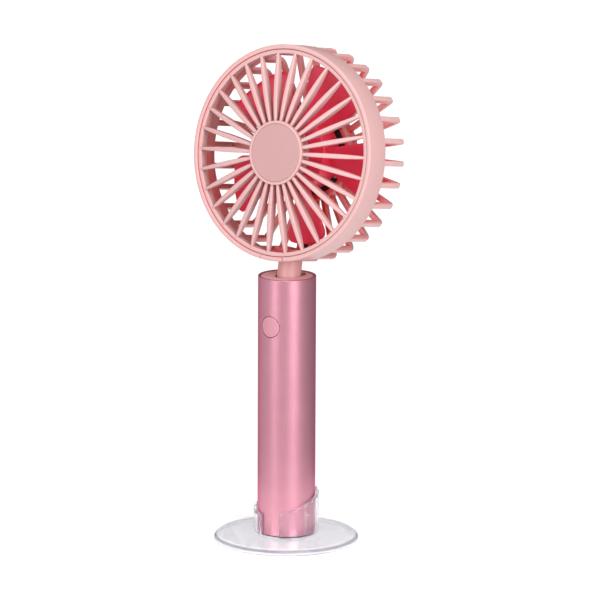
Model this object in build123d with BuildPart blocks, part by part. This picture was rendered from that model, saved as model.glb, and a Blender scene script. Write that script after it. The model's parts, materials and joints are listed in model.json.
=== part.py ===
from build123d import *
import os
from math import cos, radians, sin

# A handheld fan with an aluminium handle, standing in a clear desk stand.
# Millimetres, +Z up. The origin is the centre of the stand's underside, the
# handle's axis is Z, and the fan blows towards -Y.

os.makedirs("parts", exist_ok=True)

# Desk stand
DISC_R = 34.05
DISC_T = 2.9
DISC_FLAT_R = 31.4
SLEEVE_BORE_R = 13.75
SLEEVE_R = 15.25
SLEEVE_MEAN_Z = 18.8
SLEEVE_SLOPE = 19.2
SLEEVE_TURN = 17.0
COLLAR_R = 16.5
COLLAR_H = 0.9
SLIT_W = 10.7
SLIT_ANGLE = -87.9
GRIP_ANGLES = (-6.0, 90.0, 186.0)
GRIP_W = 1.0
GRIP_H = 9.0
GRIP_PROUD = 0.2

# Handle
TUBE_R = 13.5
TUBE_BORE_R = 12.3
TUBE_FOOT_Z = 4.1
TUBE_TOP_Z = 125.9
FOOT_Z = 3.0
CAP_R = 12.2
CARRIER_R = 12.0
CARRIER_FOOT_Z = 11.5
CARRIER_TOP_Z = 109.8
CELL_R = 9.2
CELL_LENGTH = 65.2
CELL_FOOT_Z = 15.0
CELL_Y = 0.8
BOARD_FRONT_Y = -5.3
BOARD_T = 1.0
BOARD_FOOT_Z = 82.8
BOARD_TOP_Z = 107.4
BUTTON_Z = 103.5
BUTTON_R = 4.85
BUTTON_HOLE_R = 5.1
BUTTON_BACK_Y = -9.95
SCREW_X = 8.0
BRACKET_SCREW_X = 8.4
BOARD_SCREW_X = 7.0

# Tilt hinge
PIVOT_Z = 116.5
TILT = 9.5
PIN_R = 1.5
PIN_CLEAR = 0.05
BARREL_R = 5.0
BARREL_HALF = 5.0
EAR_X = 5.6
EAR_T = 1.0
EAR_R = 4.6
NECK_R = 5.55
NECK_BORE_R = 2.2
SPIGOT_R = 3.6
NECK_REACH = 65.8

# Head, measured in its own frame: radius from the fan's axis and depth
# along it, positive to the front
HEAD_R = 50.0
RIM_FRONT = 16.4
RIM_BACK = 3.8
RIM_BORE_R = 47.9
SHOULDER_R = 46.9
SHOULDER_FRONT = 11.4
SPOKES = 30
SPOKE_STEP = 360 / SPOKES
RING_R = 47.75
RING_BORE_R = 45.8
RING_BACK = 11.6
RING_FRONT = 15.9
RIB_T = 1.8
RIB_START = 3.5
HUB_R = 14.8
HUB_FRONT = 20.9
HUB_BACK = 14.6
BADGE_R = 13.4
BADGE_T = 0.7
LUG_ANGLES = (30.0, 150.0, 270.0)
LUG_W = 6.0
TWIST = 14.5
BAR_T = 2.4
CAGE_R = 49.85
CAGE_BACK = -13.5
CAGE_START = 1.0
BAR_DEPTH = 3.0
BAR_CORNER = 2.0
CUP_R = 21.6
CUP_BORE_R = 18.7
CUP_FLOOR = 1.6
CUP_FRONT = -8.0
CUP_BACK = -15.5
SADDLE_BORE_R = 44.4
SADDLE_R = 49.8
SADDLE_BACK = -8.0
DUCT_HALF = 1.7
DUCT_TOP = -46.1

# Motor and impeller
MOTOR_R = 12.1
MOTOR_BACK = -12.6
MOTOR_FRONT = -0.35
SHAFT_R = 1.0
COVER_R = 13.8
COVER_FLANGE_R = 18.4
COVER_SCREW_R = 16.1
MOTOR_SCREW_R = 7.0
IMPELLER_HUB_R = 16.8
IMPELLER_HUB_BACK = -7.0
IMPELLER_HUB_FRONT = 5.5
BLADES = 5
BLADE_START = 64.5
BLADE_TIP_R = 42.0
BLADE_ROOT_R = 16.2
BLADE_T = 1.2
BLADE_SWEEP = 43.0
BLADE_RISE = 11.0
BLADE_MID = -1.2
BLADE_CAMBER = 0.06
LEAD_R = 0.55
LEAD_X = 0.75

SLANT_NORMAL = (
    -sin(radians(SLEEVE_TURN)) * sin(radians(SLEEVE_SLOPE)),
    -cos(radians(SLEEVE_TURN)) * sin(radians(SLEEVE_SLOPE)),
    cos(radians(SLEEVE_SLOPE)),
)
UP = Vector(0, sin(radians(TILT)), cos(radians(TILT)))
FRONT = Vector(0, -cos(radians(TILT)), sin(radians(TILT)))
NECK = Plane(origin=(0, 0, PIVOT_Z), x_dir=(1, 0, 0), z_dir=UP)
HEAD = Plane(origin=Vector(0, 0, PIVOT_Z) + UP * NECK_REACH, x_dir=(1, 0, 0), z_dir=FRONT)
HEAD_AXIS = Axis(HEAD.origin, HEAD.z_dir)


def head_section(angle):
    """The plane through the fan's axis at this angle: x is radius, y is depth."""
    out = HEAD.x_dir * cos(radians(angle)) + HEAD.y_dir * sin(radians(angle))
    return Plane(origin=HEAD.origin, x_dir=out, z_dir=out.cross(HEAD.z_dir))


def save(piece, name):
    piece.part.label = name
    export_step(piece.part, f"parts/{name}.step")


def make_screw(head_r, head_h, shank_r, length):
    """A pan-head cross screw, its seat at the origin and its shank along -Z."""
    with BuildPart() as screw:
        with BuildSketch():
            Circle(head_r)
        extrude(amount=head_h)
        fillet(screw.edges().group_by(Axis.Z)[-1], head_h * 0.45)
        with BuildSketch(Plane.XY.offset(head_h)):
            Rectangle(head_r * 1.1, head_r * 0.28)
            Rectangle(head_r * 0.28, head_r * 1.1)
        extrude(amount=-head_h * 0.5, mode=Mode.SUBTRACT)
        with BuildSketch():
            Circle(shank_r)
        extrude(amount=-length)
        chamfer(screw.edges().group_by(Axis.Z)[0], shank_r * 0.5)
    return screw.part


# --- Desk stand: one clear moulding, a disc with a slit sleeve ---------------

with BuildPart() as desk_stand:
    with BuildSketch(Plane.XZ):
        with BuildLine():
            Polyline((DISC_FLAT_R, DISC_T), (0, DISC_T), (0, 0), (DISC_R - 0.8, 0))
            ThreePointArc((DISC_R - 0.8, 0), (DISC_R - 0.2, 0.3), (DISC_R, 0.9))
            ThreePointArc((DISC_R, 0.9), (DISC_R - 0.75, 2.15), (DISC_FLAT_R, DISC_T))
        make_face()
    revolve(axis=Axis.Z)
    with BuildSketch(Plane.XY.offset(DISC_T)):
        Circle(SLEEVE_R)
        Circle(SLEEVE_BORE_R, mode=Mode.SUBTRACT)
    extrude(amount=2 * SLEEVE_MEAN_Z - DISC_T)
    with BuildSketch(Plane(origin=(0, 0, SLEEVE_MEAN_Z), z_dir=SLANT_NORMAL)):
        Rectangle(4 * SLEEVE_R, 4 * SLEEVE_R)
    extrude(amount=2 * SLEEVE_MEAN_Z, mode=Mode.SUBTRACT)
    with BuildSketch(Plane.XY.offset(DISC_T)):
        with PolarLocations(SLEEVE_R, 1, start_angle=SLIT_ANGLE):
            Rectangle(8, SLIT_W)
    extrude(amount=2 * SLEEVE_MEAN_Z, mode=Mode.SUBTRACT)
    above_disc = desk_stand.edges().filter_by_position(Axis.Z, DISC_T + 1, 3 * SLEEVE_MEAN_Z)
    fillet(above_disc, 0.4)
    with BuildSketch(Plane.XY.offset(DISC_T)):
        Circle(COLLAR_R)
        Circle(SLEEVE_BORE_R, mode=Mode.SUBTRACT)
    extrude(amount=COLLAR_H)
    for angle in GRIP_ANGLES:
        with BuildSketch(Plane.XY.offset(DISC_T)):
            with PolarLocations(SLEEVE_BORE_R + 0.3, 1, start_angle=angle):
                Rectangle(0.6 + 2 * GRIP_PROUD, GRIP_W)
        extrude(amount=GRIP_H)
save(desk_stand, "desk_stand")

# --- Handle: anodised tube, its end caps and what they close in --------------

with BuildPart() as handle_tube:
    with BuildSketch(Plane.XY.offset(TUBE_FOOT_Z)):
        Circle(TUBE_R)
        Circle(TUBE_BORE_R, mode=Mode.SUBTRACT)
    extrude(amount=TUBE_TOP_Z - TUBE_FOOT_Z)
    ends = handle_tube.edges().group_by(Axis.Z)
    chamfer(ends[0] + ends[-1], 0.2)
    with BuildSketch(Plane.XZ):
        with Locations((0, BUTTON_Z)):
            Circle(BUTTON_HOLE_R)
    extrude(amount=2 * TUBE_R, mode=Mode.SUBTRACT)
save(handle_tube, "handle_tube")

PORT_HALF_X = 3.8
PORT_HALF_Y = 1.45
CHARGE_BOARD_Z = 9.6
LIGHT_Y = 5.5
LIGHT_R = 0.95

with BuildPart() as bottom_cap:
    with BuildSketch(Plane.XY.offset(FOOT_Z)):
        Circle(TUBE_R - 0.3)
    extrude(amount=TUBE_FOOT_Z - FOOT_Z)
    chamfer(bottom_cap.edges().group_by(Axis.Z)[0], 0.25)
    with BuildSketch(Plane.XY.offset(TUBE_FOOT_Z)):
        Circle(CAP_R)
        Circle(CAP_R - 1.2, mode=Mode.SUBTRACT)
        with Locations((-SCREW_X, 0), (SCREW_X, 0)):
            Circle(2.3)
    extrude(amount=CHARGE_BOARD_Z - 0.1 - TUBE_FOOT_Z)
    with Locations((-SCREW_X, 0, FOOT_Z), (SCREW_X, 0, FOOT_Z)):
        Cylinder(1.1, 8, align=(Align.CENTER, Align.CENTER, Align.MIN), mode=Mode.SUBTRACT)
        Cylinder(1.9, 1.5, align=(Align.CENTER, Align.CENTER, Align.MIN), mode=Mode.SUBTRACT)
    with BuildSketch(Plane.XY.offset(FOOT_Z)):
        RectangleRounded(2 * PORT_HALF_X + 0.3, 2 * PORT_HALF_Y + 0.3, 0.8)
        with Locations((0, LIGHT_Y)):
            Circle(LIGHT_R + 0.05)
    extrude(amount=3, mode=Mode.SUBTRACT)
save(bottom_cap, "bottom_cap")

with BuildPart() as bottom_screws:
    with Locations((-SCREW_X, 0, FOOT_Z + 1.5), (SCREW_X, 0, FOOT_Z + 1.5)):
        add(make_screw(1.8, 1.3, 0.95, 9.2), rotation=(180, 0, 0))
save(bottom_screws, "bottom_screws")

with BuildPart() as charge_board:
    with BuildSketch(Plane.XY.offset(CHARGE_BOARD_Z)):
        Circle(CAP_R - 0.3)
        with Locations((-SCREW_X, 0), (SCREW_X, 0)):
            Circle(1.15, mode=Mode.SUBTRACT)
    extrude(amount=BOARD_T)
save(charge_board, "charge_board")

with BuildPart() as charge_port:
    with BuildSketch(Plane.XY.offset(FOOT_Z + 0.3)):
        RectangleRounded(2 * PORT_HALF_X, 2 * PORT_HALF_Y, 0.7)
    extrude(amount=CHARGE_BOARD_Z - 0.02 - FOOT_Z - 0.3)
    with BuildSketch(Plane.XY.offset(FOOT_Z + 0.3)):
        RectangleRounded(2 * PORT_HALF_X - 0.7, 2 * PORT_HALF_Y - 0.7, 0.4)
    extrude(amount=5.0, mode=Mode.SUBTRACT)
    with BuildSketch(Plane.XY.offset(FOOT_Z + 0.9)):
        Rectangle(4.6, 0.6)
    extrude(amount=4.6)
save(charge_port, "charge_port")

with BuildPart() as charge_light:
    with BuildSketch(Plane.XY.offset(FOOT_Z + 0.05)):
        with Locations((0, LIGHT_Y)):
            Circle(LIGHT_R)
    extrude(amount=CHARGE_BOARD_Z - 0.02 - FOOT_Z - 0.05)
save(charge_light, "charge_light")

# The carrier: cell bay below, board bay above, hinge seat on top
with BuildPart() as battery_carrier:
    with BuildSketch(Plane.XY.offset(CARRIER_FOOT_Z)):
        Circle(CARRIER_R)
    extrude(amount=CARRIER_TOP_Z - CARRIER_FOOT_Z)
    with BuildSketch(Plane.XY.offset(CELL_FOOT_Z - 0.6)):
        with Locations((0, CELL_Y)):
            Circle(CELL_R + 0.15)
        with Locations((0, CELL_Y - CARRIER_R)):
            Rectangle(2 * CELL_R + 0.3, 2 * CARRIER_R)
    extrude(amount=CELL_LENGTH + 1.2, mode=Mode.SUBTRACT)
    with BuildSketch(Plane.XY.offset(BOARD_FOOT_Z - 0.2)):
        with Locations((0, BOARD_FRONT_Y + BOARD_T + 0.05 - CARRIER_R)):
            Rectangle(16.4, 2 * CARRIER_R)
    extrude(amount=BOARD_TOP_Z - BOARD_FOOT_Z + 0.5, mode=Mode.SUBTRACT)
    with BuildSketch(Plane.XY.offset(BOARD_FOOT_Z + 2.5)):
        Rectangle(11.6, 9.6)
    extrude(amount=18.5, mode=Mode.SUBTRACT)
    with BuildSketch(Plane.XY.offset(BOARD_TOP_Z - 4)):
        Circle(2.5)
    extrude(amount=8, mode=Mode.SUBTRACT)
    with BuildSketch(Plane.XY.offset(BUTTON_Z)):
        with Locations((0, BUTTON_BACK_Y + 0.75 - CARRIER_R)):
            Rectangle(2 * BUTTON_R + 3, 2 * CARRIER_R)
    extrude(amount=CARRIER_TOP_Z - BUTTON_Z, mode=Mode.SUBTRACT)
    with BuildSketch(Plane.XY.offset(CELL_FOOT_Z + CELL_LENGTH)):
        with Locations((0, BOARD_FRONT_Y - CARRIER_R)):
            Rectangle(14.6, 2 * CARRIER_R)
    extrude(amount=3, mode=Mode.SUBTRACT)
    with Locations((-SCREW_X, 0, CARRIER_FOOT_Z), (SCREW_X, 0, CARRIER_FOOT_Z)):
        Cylinder(0.98, 2.8, align=(Align.CENTER, Align.CENTER, Align.MIN), mode=Mode.SUBTRACT)
    with Locations((-BRACKET_SCREW_X, 0, CARRIER_TOP_Z), (BRACKET_SCREW_X, 0, CARRIER_TOP_Z)):
        Cylinder(0.93, 4.4, align=(Align.CENTER, Align.CENTER, Align.MAX), mode=Mode.SUBTRACT)
    with BuildSketch(Plane.XZ.offset(-BOARD_FRONT_Y - BOARD_T - 0.05)):
        with Locations((-BOARD_SCREW_X, BOARD_FOOT_Z + 11), (BOARD_SCREW_X, BOARD_FOOT_Z + 11)):
            Circle(0.73)
    extrude(amount=-4.5, mode=Mode.SUBTRACT)
save(battery_carrier, "battery_carrier")

with BuildPart() as battery_cell:
    with BuildSketch(Plane.XY.offset(CELL_FOOT_Z)):
        with Locations((0, CELL_Y)):
            Circle(CELL_R)
    extrude(amount=CELL_LENGTH - 1.0)
    fillet(battery_cell.edges(), 0.8)
    with BuildSketch(Plane.XY.offset(CELL_FOOT_Z + CELL_LENGTH - 1.0)):
        with Locations((0, CELL_Y)):
            Circle(3.4)
    extrude(amount=1.0)
save(battery_cell, "battery_cell")

with BuildPart() as battery_tabs:
    for tab_z in (CELL_FOOT_Z - 0.4, CELL_FOOT_Z + CELL_LENGTH + 0.1):
        with BuildSketch(Plane.XY.offset(tab_z)):
            with Locations((0, CELL_Y - 3)):
                Rectangle(5, 10)
        extrude(amount=0.3)
save(battery_tabs, "battery_tabs")

with BuildPart() as circuit_board:
    with BuildSketch(Plane.XZ.offset(-BOARD_FRONT_Y - BOARD_T)):
        with Locations((0, (BOARD_FOOT_Z + BOARD_TOP_Z) / 2)):
            Rectangle(16, BOARD_TOP_Z - BOARD_FOOT_Z)
        with Locations((-BOARD_SCREW_X, BOARD_FOOT_Z + 11), (BOARD_SCREW_X, BOARD_FOOT_Z + 11)):
            Circle(0.8, mode=Mode.SUBTRACT)
    extrude(amount=BOARD_T)
save(circuit_board, "circuit_board")

with BuildPart() as board_screws:
    with Locations(Plane.XZ.offset(-BOARD_FRONT_Y + 0.02)):
        with Locations((-BOARD_SCREW_X, BOARD_FOOT_Z + 11), (BOARD_SCREW_X, BOARD_FOOT_Z + 11)):
            add(make_screw(1.2, 0.8, 0.68, 4.0))
save(board_screws, "board_screws")

with BuildPart() as board_chips:
    with BuildSketch(Plane.XZ.offset(-BOARD_FRONT_Y + 0.02)):
        with Locations((-1.5, BOARD_FOOT_Z + 5)):
            Rectangle(5.0, 4.0)
        with Locations((4.6, BOARD_FOOT_Z + 4)):
            Rectangle(2.6, 3.0)
        with Locations((4.4, BOARD_FOOT_Z + 8.5), (-5.4, BOARD_FOOT_Z + 8.5)):
            Rectangle(1.2, 2.0)
    extrude(amount=1.3)
save(board_chips, "board_chips")

SWITCH_H = 3.4
PLUNGER_R = 1.7

with BuildPart() as tact_switch:
    with BuildSketch(Plane.XZ.offset(-BOARD_FRONT_Y + 0.02)):
        with Locations((0, BUTTON_Z)):
            Rectangle(6, 6)
    extrude(amount=SWITCH_H)
    with BuildSketch(Plane.XZ.offset(-BOARD_FRONT_Y + SWITCH_H + 0.02)):
        with Locations((0, BUTTON_Z)):
            Circle(PLUNGER_R + 0.08)
    extrude(amount=-1.8, mode=Mode.SUBTRACT)
save(tact_switch, "tact_switch")

with BuildPart() as switch_plunger:
    with BuildSketch(Plane.XZ.offset(-BUTTON_BACK_Y - 0.02)):
        with Locations((0, BUTTON_Z)):
            Circle(PLUNGER_R)
    extrude(amount=-2.2)
save(switch_plunger, "switch_plunger")

with BuildPart() as power_button:
    with BuildSketch(Plane.XZ.offset(-BUTTON_BACK_Y)):
        with Locations((0, BUTTON_Z)):
            Circle(BUTTON_R)
    extrude(amount=5)
    with BuildSketch(Plane.XY.offset(BUTTON_Z - 8)):
        Circle(TUBE_R + 0.1)
    extrude(amount=16, mode=Mode.INTERSECT)
    fillet(power_button.edges().group_by(Axis.Y)[0], 0.25)
    with BuildSketch(Plane.XZ.offset(-BUTTON_BACK_Y)):
        with Locations((0, BUTTON_Z)):
            Circle(BUTTON_R + 0.85)
    extrude(amount=0.8)
save(power_button, "power_button")

with BuildPart() as battery_leads:
    for lead_x, lead_foot in ((-5.5, CELL_FOOT_Z + 0.2), (5.5, CELL_FOOT_Z + CELL_LENGTH - 1.5)):
        with BuildLine():
            lead_path = FilletPolyline(
                (lead_x, -8.6, lead_foot),
                (lead_x, -8.6, BOARD_FOOT_Z - 1.2),
                (lead_x * 1.2, BOARD_FRONT_Y - 0.65, BOARD_FOOT_Z + 1.2),
                (lead_x * 1.2, BOARD_FRONT_Y - 0.65, BOARD_FOOT_Z + 2.4),
                radius=1.2,
            )
        with BuildSketch(Plane(origin=lead_path @ 0, z_dir=lead_path % 0)):
            Circle(LEAD_R)
        sweep(path=lead_path)
save(battery_leads, "battery_leads")

with BuildPart() as top_cap:
    with BuildSketch(Plane.XY.offset(PIVOT_Z + 1.5)):
        Circle(CAP_R)
        Circle(CAP_R - 1.2, mode=Mode.SUBTRACT)
    extrude(amount=TUBE_TOP_Z - 0.3 - PIVOT_Z - 1.5)
    with BuildSketch(Plane.XY.offset(TUBE_TOP_Z - 1.8)):
        Circle(CAP_R)
        with Locations((0, 2.3)):
            SlotOverall(16.6, 11.4, rotation=90, mode=Mode.SUBTRACT)
    extrude(amount=1.5)
    fillet(top_cap.edges().group_by(Axis.Z)[-1], 0.25)
save(top_cap, "top_cap")

# --- Tilt hinge: steel bracket, friction washers, pin and nut ----------------

with BuildPart() as hinge_bracket:
    with BuildSketch(Plane.XY.offset(CARRIER_TOP_Z + 0.02)):
        Rectangle(20.4, 2 * EAR_R)
        Circle(2.8, mode=Mode.SUBTRACT)
        with Locations((-BRACKET_SCREW_X, 0), (BRACKET_SCREW_X, 0)):
            Circle(1.0, mode=Mode.SUBTRACT)
    extrude(amount=EAR_T)
    with BuildSketch(Plane.YZ):
        with Locations((0, PIVOT_Z)):
            Circle(EAR_R)
        with Locations((0, (CARRIER_TOP_Z + 0.02 + PIVOT_Z) / 2)):
            Rectangle(2 * EAR_R, PIVOT_Z - CARRIER_TOP_Z - 0.02)
    extrude(amount=EAR_X + EAR_T, both=True)
    with BuildSketch(Plane.XZ.offset(-2 * EAR_R)):
        with Locations((0, CARRIER_TOP_Z + 0.02 + EAR_T + 10)):
            Rectangle(2 * EAR_X, 20)
    extrude(amount=4 * EAR_R, mode=Mode.SUBTRACT)
    with BuildSketch(Plane.XY.offset(CARRIER_TOP_Z)):
        Circle(2.8)
    extrude(amount=2, mode=Mode.SUBTRACT)
    with BuildSketch(Plane.YZ):
        with Locations((0, PIVOT_Z)):
            Circle(PIN_R + PIN_CLEAR)
    extrude(amount=20, both=True, mode=Mode.SUBTRACT)
save(hinge_bracket, "hinge_bracket")

with BuildPart() as bracket_screws:
    with Locations(
        (-BRACKET_SCREW_X, 0, CARRIER_TOP_Z + EAR_T + 0.04),
        (BRACKET_SCREW_X, 0, CARRIER_TOP_Z + EAR_T + 0.04),
    ):
        add(make_screw(1.7, 1.1, 0.9, 5.0))
save(bracket_screws, "bracket_screws")

with BuildPart() as hinge_washers:
    for washer_x in (-EAR_X + 0.05, EAR_X - 0.5):
        with BuildSketch(Plane.YZ.offset(washer_x)):
            with Locations((0, PIVOT_Z)):
                Circle(4.2)
                Circle(PIN_R + PIN_CLEAR, mode=Mode.SUBTRACT)
        extrude(amount=0.45)
save(hinge_washers, "hinge_washers")

with BuildPart() as hinge_pin:
    with BuildSketch(Plane.YZ.offset(-EAR_X - EAR_T - 0.02)):
        with Locations((0, PIVOT_Z)):
            Circle(2.6)
    extrude(amount=-1.4)
    fillet(hinge_pin.edges().group_by(Axis.X)[0], 0.5)
    with BuildSketch(Plane.YZ.offset(-EAR_X - EAR_T - 0.02)):
        with Locations((0, PIVOT_Z)):
            Circle(PIN_R)
    extrude(amount=2 * (EAR_X + EAR_T) + 2.2)
save(hinge_pin, "hinge_pin")

with BuildPart() as hinge_nut:
    with BuildSketch(Plane.YZ.offset(EAR_X + EAR_T + 0.02)):
        with Locations((0, PIVOT_Z)):
            RegularPolygon(2.7, 6)
            Circle(PIN_R + 0.02, mode=Mode.SUBTRACT)
    extrude(amount=1.9)
save(hinge_nut, "hinge_nut")

# --- Neck: hollow stalk with a hinge barrel below and a spigot above ---------

NECK_SCREW_L = NECK_REACH - 47.9

with BuildPart() as neck:
    with BuildSketch(NECK):
        Circle(NECK_R)
    extrude(amount=NECK_REACH - HEAD_R + 2)
    with BuildSketch(NECK.offset(-1)):
        with Locations((-BARREL_HALF - 2, 0), (BARREL_HALF + 2, 0)):
            Rectangle(4, 4 * NECK_R)
    extrude(amount=6.6, mode=Mode.SUBTRACT)
    with BuildSketch(Plane.YZ.offset(-BARREL_HALF)):
        with Locations((0, PIVOT_Z)):
            Circle(BARREL_R)
    extrude(amount=2 * BARREL_HALF)
    with BuildSketch(HEAD.offset(-HEAD_R)):
        Circle(HEAD_R + 0.02)
    extrude(amount=2 * HEAD_R, mode=Mode.SUBTRACT)
    with BuildSketch(NECK.offset(10)):
        Circle(SPIGOT_R)
    extrude(amount=NECK_REACH + DUCT_TOP - 10)
    with BuildSketch(NECK.offset(-8)):
        Circle(NECK_BORE_R)
    extrude(amount=40, mode=Mode.SUBTRACT)
    with BuildSketch(Plane.YZ):
        with Locations((0, PIVOT_Z)):
            Circle(PIN_R + PIN_CLEAR)
    extrude(amount=10, both=True, mode=Mode.SUBTRACT)
    with BuildSketch(HEAD.offset(SADDLE_BACK)):
        with Locations((0, NECK_SCREW_L - NECK_REACH)):
            Circle(0.93)
    extrude(amount=-SADDLE_BACK - NECK_BORE_R + 0.5, mode=Mode.SUBTRACT)
save(neck, "neck")

# --- Head: rear cage, the moulding that everything in the head screws to -----

with BuildPart() as cage_bar:
    with BuildSketch(Plane.XZ):
        with BuildLine():
            FilletPolyline(
                (CUP_R - 0.6, CAGE_BACK),
                (CAGE_R, CAGE_BACK),
                (CAGE_R, RIM_BACK + 0.5),
                radius=BAR_CORNER,
            )
            Line((CAGE_R, RIM_BACK + 0.5), (CAGE_R - BAR_DEPTH, RIM_BACK + 0.5))
            FilletPolyline(
                (CAGE_R - BAR_DEPTH, RIM_BACK + 0.5),
                (CAGE_R - BAR_DEPTH, CAGE_BACK + BAR_DEPTH),
                (CUP_R - 0.6, CAGE_BACK + BAR_DEPTH),
                radius=BAR_CORNER / 2,
            )
            Line((CUP_R - 0.6, CAGE_BACK + BAR_DEPTH), (CUP_R - 0.6, CAGE_BACK))
        make_face()
    extrude(amount=BAR_T / 2, both=True)

with BuildPart(HEAD) as rear_cage:
    with BuildSketch(head_section(0)):
        Polygon(
            (SHOULDER_R, RIM_BACK),
            (HEAD_R, RIM_BACK),
            (HEAD_R, RIM_FRONT - 0.6),
            (HEAD_R - 0.6, RIM_FRONT),
            (RIM_BORE_R, RIM_FRONT),
            (RIM_BORE_R, SHOULDER_FRONT),
            (SHOULDER_R, SHOULDER_FRONT),
            align=None,
        )
        Polygon(
            (0, CUP_BACK),
            (CUP_R - 1.2, CUP_BACK),
            (CUP_R, CUP_BACK + 1.2),
            (CUP_R, CUP_FRONT),
            (CUP_BORE_R, CUP_FRONT),
            (CUP_BORE_R, CUP_BACK + CUP_FLOOR),
            (0, CUP_BACK + CUP_FLOOR),
            align=None,
        )
    revolve(axis=HEAD_AXIS)
    with PolarLocations(0, SPOKES, start_angle=CAGE_START):
        add(cage_bar.part)
    with BuildSketch(head_section(-99)):
        with Locations(((SADDLE_BORE_R + SADDLE_R) / 2, (SADDLE_BACK + RIM_BACK + 0.4) / 2)):
            Rectangle(SADDLE_R - SADDLE_BORE_R, RIM_BACK + 0.4 - SADDLE_BACK)
    revolve(axis=HEAD_AXIS, revolution_arc=18)
    with BuildSketch(HEAD.offset(CAGE_BACK)):
        with Locations((0, -(CUP_R + HEAD_R) / 2 + 1.4)):
            Rectangle(2 * DUCT_HALF + 1.8, HEAD_R - CUP_R - 3)
    extrude(amount=BAR_DEPTH + 0.2)
    with BuildSketch(HEAD.offset(CAGE_BACK + 0.7)):
        with Locations((0, (DUCT_TOP - CUP_BORE_R + 0.7) / 2)):
            Rectangle(2 * DUCT_HALF, -DUCT_TOP - CUP_BORE_R + 0.7)
    extrude(amount=3, mode=Mode.SUBTRACT)
    with BuildSketch(HEAD.offset(CAGE_BACK + 0.7)):
        with Locations((0, DUCT_TOP + 1)):
            Rectangle(2 * DUCT_HALF, 2)
    extrude(amount=-CAGE_BACK + 1.7, mode=Mode.SUBTRACT)
    with BuildSketch(NECK.offset(NECK_REACH - HEAD_R - 1)):
        Circle(SPIGOT_R + 0.05)
    extrude(amount=HEAD_R + DUCT_TOP + 1.2, mode=Mode.SUBTRACT)
    with BuildSketch(HEAD.offset(SADDLE_BACK - 0.1)):
        with Locations((0, NECK_SCREW_L - NECK_REACH)):
            Circle(1.05)
    extrude(amount=6, mode=Mode.SUBTRACT)
    with BuildSketch(HEAD.offset(SADDLE_BACK - 0.1)):
        with Locations((0, NECK_SCREW_L - NECK_REACH)):
            Circle(1.9)
    extrude(amount=1.4, mode=Mode.SUBTRACT)
    with BuildSketch(HEAD.offset(CUP_BACK + 1)):
        with PolarLocations(COVER_SCREW_R, 3, start_angle=90):
            Circle(2.5)
    extrude(amount=4.5)
    with BuildSketch(HEAD.offset(CUP_BACK + 1.6)):
        with PolarLocations(COVER_SCREW_R, 3, start_angle=90):
            Circle(0.93)
    extrude(amount=6, mode=Mode.SUBTRACT)
    for angle in LUG_ANGLES:
        with BuildSketch(head_section(angle - LUG_W / 2)):
            with Locations(((RIM_BORE_R + 46.95) / 2 + 0.1, 13.0)):
                Rectangle(RIM_BORE_R - 46.95 + 0.2, 1.2)
        revolve(axis=HEAD_AXIS, revolution_arc=LUG_W)
save(rear_cage, "rear_cage")

with BuildPart() as neck_screw:
    with Locations(HEAD.offset(SADDLE_BACK + 1.3)):
        with Locations((0, NECK_SCREW_L - NECK_REACH)):
            add(make_screw(1.8, 1.2, 0.9, 4.2), rotation=(180, 0, 0))
save(neck_screw, "neck_screw")

# --- Front grille: ring, curved ribs and hub, twisted into the rim -----------

with BuildPart() as grille_rib:
    with BuildSketch(Plane.XZ):
        with BuildLine():
            ThreePointArc((46.7, 15.7), (31.0, 18.75), (13.8, 20.3))
            Line((13.8, 20.3), (13.8, 17.6))
            ThreePointArc((13.8, 17.6), (30.5, 14.9), (46.2, 14.3))
            Line((46.2, 14.3), (46.7, 15.7))
        make_face()
    extrude(amount=RIB_T / 2, both=True)

with BuildPart(HEAD) as front_grille:
    with BuildSketch(head_section(0)):
        with Locations(((RING_R + RING_BORE_R) / 2, (RING_BACK + RING_FRONT) / 2)):
            RectangleRounded(RING_R - RING_BORE_R, RING_FRONT - RING_BACK, 0.3)
        Polygon(
            (0, HUB_FRONT - BADGE_T - 1.4),
            (HUB_R - 1.4, HUB_FRONT - BADGE_T - 1.4),
            (HUB_R - 1.4, HUB_BACK),
            (HUB_R, HUB_BACK),
            (HUB_R, HUB_FRONT - 0.6),
            (HUB_R - 0.6, HUB_FRONT),
            (BADGE_R + 0.05, HUB_FRONT),
            (BADGE_R + 0.05, HUB_FRONT - BADGE_T),
            (0, HUB_FRONT - BADGE_T),
            align=None,
        )
    revolve(axis=HEAD_AXIS)
    with PolarLocations(0, SPOKES, start_angle=RIB_START):
        add(grille_rib.part)
    for angle in LUG_ANGLES:
        with BuildSketch(head_section(angle - TWIST - LUG_W / 2 - 1)):
            with Locations((RING_R, 13.0)):
                Rectangle(1.9, 1.5)
        revolve(axis=HEAD_AXIS, revolution_arc=TWIST + LUG_W + 2, mode=Mode.SUBTRACT)
        with BuildSketch(head_section(angle - TWIST - LUG_W / 2 - 1)):
            with Locations((RING_R, 12.4)):
                Rectangle(1.9, 2.7)
        revolve(axis=HEAD_AXIS, revolution_arc=LUG_W + 2, mode=Mode.SUBTRACT)
save(front_grille, "front_grille")

with BuildPart() as grille_badge:
    with BuildSketch(HEAD.offset(HUB_FRONT - BADGE_T + 0.02)):
        Circle(BADGE_R)
    extrude(amount=BADGE_T)
    fillet(grille_badge.edges().sort_by(HEAD_AXIS)[-1], 0.3)
save(grille_badge, "grille_badge")

# --- Motor: brushed can motor under a screwed cover --------------------------

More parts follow.
